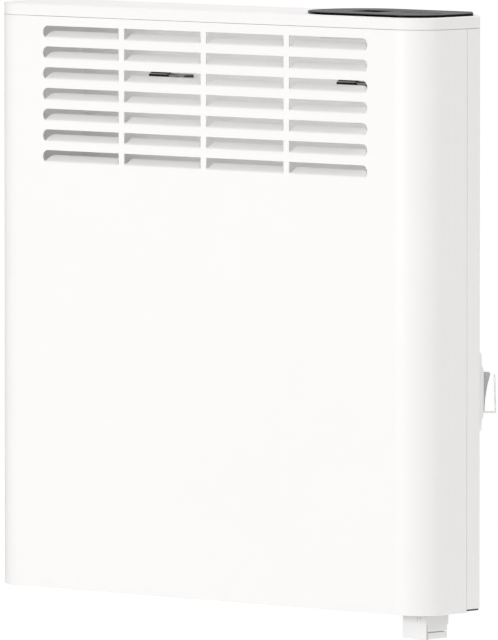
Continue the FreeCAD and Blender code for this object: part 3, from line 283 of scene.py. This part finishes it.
# galvanised sheet: spangle patches, drawn lines
zinc = Mat("zinc_plated_steel")
flake = zinc.t.nodes.new("ShaderNodeTexVoronoi")
flake.inputs["Scale"].default_value = 160.0
zinc.link(zinc.co, flake.inputs["Vector"])
tone = zinc.t.nodes.new("ShaderNodeSeparateColor")
zinc.link(flake.outputs["Color"], tone.inputs["Color"])
zinc.colour(zinc.ramp(tone.outputs["Red"], [(0.0, (0.50, 0.51, 0.52)), (1.0, (0.68, 0.69, 0.70))]))
zinc.rough(zinc.ramp(tone.outputs["Green"], [(0.0, 0.30), (1.0, 0.48)]))
zinc.bump(zinc.noise(900.0, 2.0), 0.1, 0.00003, 0.0003)
zinc.set(Metallic=0.92)
screw = steel("screw_steel", (0.55, 0.55, 0.56), 0.3, along=(400.0, 400.0, 60.0))

alu = steel("extruded_aluminium", (0.80, 0.81, 0.82), 0.32, along=(6.0, 700.0, 700.0))
sheath = steel("heater_sheath", (0.34, 0.30, 0.26), 0.45, along=(12.0, 500.0, 500.0))
brass = steel("brass_parts", (0.80, 0.60, 0.26), 0.3, along=(300.0, 300.0, 300.0))

ceramic = Mat("ceramic_bush")
speck = ceramic.noise(900.0, 4.0)
ceramic.colour(ceramic.ramp(speck, [(0.3, (0.72, 0.67, 0.58)), (0.65, (0.82, 0.79, 0.72))]))
ceramic.rough(ceramic.span(speck, 0.55, 0.75))
ceramic.bump(speck, 0.3, 0.00005)

# solder mask over copper runs: thin lighter lines in two directions and round pads
board = Mat("circuit_board")
brick = board.t.nodes.new("ShaderNodeTexBrick")
for k, v in (("Scale", 160.0), ("Mortar Size", 0.06), ("Mortar Smooth", 0.2), ("Bias", 0.0), ("Brick Width", 0.9), ("Row Height", 0.4)):
    brick.inputs[k].default_value = v
brick.inputs["Color1"].default_value = (0.008, 0.085, 0.035, 1)
brick.inputs["Color2"].default_value = (0.010, 0.100, 0.042, 1)
brick.inputs["Mortar"].default_value = (0.030, 0.190, 0.080, 1)
turn = board.t.nodes.new("ShaderNodeMapping")
turn.inputs["Rotation"].default_value = (math.radians(90), 0, math.radians(90))
board.link(board.co, turn.inputs["Vector"])
board.link(turn.outputs["Vector"], brick.inputs["Vector"])
pads = board.ramp(board.cells(190.0), [(0.10, 1.0), (0.14, 0.0)])
board.colour(board.mix(pads, brick.outputs["Color"], (0.55, 0.50, 0.38)))
board.rough(board.span(board.noise(120.0), 0.28, 0.42))
board.bump(brick.outputs["Fac"], 0.2, 0.00004)


def wire(name, c, second=None):
    m = Mat(name)
    fine = m.noise(420.0, 3.0)
    if second:
        n = m.t.nodes.new("ShaderNodeTexWave")
        n.inputs["Scale"].default_value = 65.0
        n.inputs["Distortion"].default_value = 0.4
        m.link(m.co, n.inputs["Vector"])
        band = m.ramp(n.outputs["Fac"], [(0.48, 0.0), (0.52, 1.0)])
        m.colour(m.mix(band, c, second))
    else:
        m.colour(m.ramp(fine, [(0.3, shades(c, 0.85)), (0.7, shades(c, 1.15))]))
    m.rough(m.span(fine, 0.36, 0.5))
    m.bump(m.noise(1300.0), 0.15, 0.00004)
    return m


brown = wire("brown_insulation", (0.16, 0.065, 0.03))
blue = wire("blue_insulation", (0.03, 0.09, 0.42))
earth = wire("earth_insulation", (0.05, 0.30, 0.05), (0.75, 0.62, 0.03))
grey = wire("grey_cable_sheath", (0.26, 0.26, 0.27))

dress = {
    paint: ["front_cover", "rear_shell", "partition_wall"],
    white: ["top_cover", "switch_bezel"],
    box_white_painted_light: ["cable_entry_box", "cable_entry_lid", "cable_gland"],
    gloss: ["control_panel"],
    glass: ["display_window"],
    key: ["menu_key", "minus_key", "plus_key"],
    rocker: ["switch_rocker"],
    boot: ["switch_boot"],
    grille: ["inlet_grille"],
    spring: ["catch_left", "catch_right"],
    black_part: ["switch_body", "display_module", "key_switches", "heater_relay", "board_transformer", "board_capacitors"],
    pale: ["control_tray", "terminal_block", "sensor_holder", "board_connector"],
    rubber: ["wall_spacers"],
    zinc: ["wall_bracket", "element_bracket_left", "element_bracket_right"],
    screw: ["cover_screws", "top_screws", "tray_screws", "board_screws", "catch_pins", "rocker_pin",
            "element_terminals", "terminal_screws", "room_sensor"],
    alu: ["heating_element", "heat_shield", "thermal_cutout"],
    sheath: ["heater_tube"],
    ceramic: ["element_bushes"],
    brass: ["switch_terminals", "cutout_terminals", "earth_stud", "board_standoffs"],
    board: ["control_board", "power_board"],
    brown: ["live_wire", "switched_wire", "element_wire_right", "cutout_wire", "element_wire_left"],
    blue: ["neutral_wire"],
    earth: ["earth_wire"],
    grey: ["control_cable"],
}
for m, names in dress.items():
    for n in names:
        o = nodes[n]
        o.data.materials.clear()
        o.data.materials.append(m.m)

# ---- floor, light and camera ------------------------------------------------------

FLOOR = -0.52
mesh = bpy.data.meshes.new("floor")
mesh.from_pydata([(-60, -60, FLOOR), (60, -60, FLOOR), (60, 60, FLOOR), (-60, 60, FLOOR)], [], [(0, 1, 2, 3)])
floor = bpy.data.objects.new("floor", mesh)
scene.collection.objects.link(floor)
pale_floor = Mat("pale_floor")
pale_floor.colour(pale_floor.ramp(pale_floor.noise(3.0, 4.0), [(0.3, (0.95, 0.95, 0.95)), (0.7, (0.97, 0.97, 0.97))]))
pale_floor.set(Roughness=0.9, Specular_IOR_Level=0.0, Emission_Color=(1, 1, 1, 1), Emission_Strength=0.36)
mesh.materials.append(pale_floor.m)
floor.visible_glossy = False

# a white studio: even all round, a little brighter overhead and on the right, dim on the left
world = bpy.data.worlds.new("studio")
scene.world = world
world.use_nodes = True
wt = world.node_tree
bg = wt.nodes["Background"]
bg.inputs["Color"].default_value = (1.0, 0.995, 0.99, 1)
way = wt.nodes.new("ShaderNodeTexCoord").outputs["Generated"]


def calc(op, a, b, c=None):
    n = wt.nodes.new("ShaderNodeMath")
    n.operation = op
    for k, v in ((0, a), (1, b), (2, c)):
        if isinstance(v, (int, float)):
            n.inputs[k].default_value = v
        elif v is not None:
            wt.links.new(v, n.inputs[k])
    return n.outputs[0]


def lobe(direction):
    n = wt.nodes.new("ShaderNodeVectorMath")
    n.operation = "DOT_PRODUCT"
    n.inputs[1].default_value = Vector(direction).normalized()
    wt.links.new(way, n.inputs[0])
    up = calc("MAXIMUM", n.outputs["Value"], 0.0)
    return calc("MULTIPLY", up, up)


EVEN, DIM, OVERHEAD, RIGHT = 0.59, 0.59, 0.33, 0.05
level = calc("MULTIPLY_ADD", lobe((-1.0, 0.0, 0.0)), -DIM, EVEN)
level = calc("MULTIPLY_ADD", lobe((0.0, 0.0, 1.0)), OVERHEAD, level)
level = calc("MULTIPLY_ADD", lobe((0.85, -0.5, 0.0)), RIGHT, level)
wt.links.new(level, bg.inputs["Strength"])


def lamp(name, place, aim, wide, tall, watts):
    light = bpy.data.lights.new(name, "AREA")
    light.shape = "RECTANGLE"
    light.size, light.size_y = wide, tall
    light.energy = watts
    o = bpy.data.objects.new(name, light)
    scene.collection.objects.link(o)
    o.location = Vector(place)
    o.rotation_euler = (Vector(aim) - o.location).to_track_quat("-Z", "Y").to_euler()
    return o


# soft box in front, a little to the left, one overhead, and two weak fills behind the louvres
lamp("key", (-1.15, -3.87, 0.56), (0.0, -0.05, 0.0), 1.0, 0.5, 39.6)
lamp("overhead", (0.0, 0.20, 1.10), (0.0, -0.04, 0.2), 0.9, 0.3, 5.2).visible_camera = False
fill = lamp("outlet_fill", (0.0, -0.092, 0.140), (0.0, 0.0, 0.140), 0.400, 0.105, 0.074)
ends = lamp("outlet_end_fill", (0.1668, -0.0962, 0.146), (0.0, -0.0962, 0.146), 0.004, 0.105, 0.0024)
for o in (fill, ends):
    o.visible_camera = False
    o.visible_glossy = False

cam = bpy.data.cameras.new("camera")
cam.sensor_width = 36.0
cam.sensor_fit = "AUTO"
cam.lens = 36.0 * 13038.0 / 640.0
cam.clip_start, cam.clip_end = 0.1, 200.0
eye = bpy.data.objects.new("camera", cam)
scene.collection.objects.link(eye)
eye.location = Vector((6.6103, -7.4756, 0.6477))
eye.rotation_euler = (Vector((0.0260, -0.0769, -0.0220)) - eye.location).to_track_quat("-Z", "Y").to_euler()
scene.camera = eye

scene.view_settings.view_transform = "Standard"
scene.view_settings.look = "None"
scene.view_settings.exposure = 0.0
scene.view_settings.gamma = 1.0
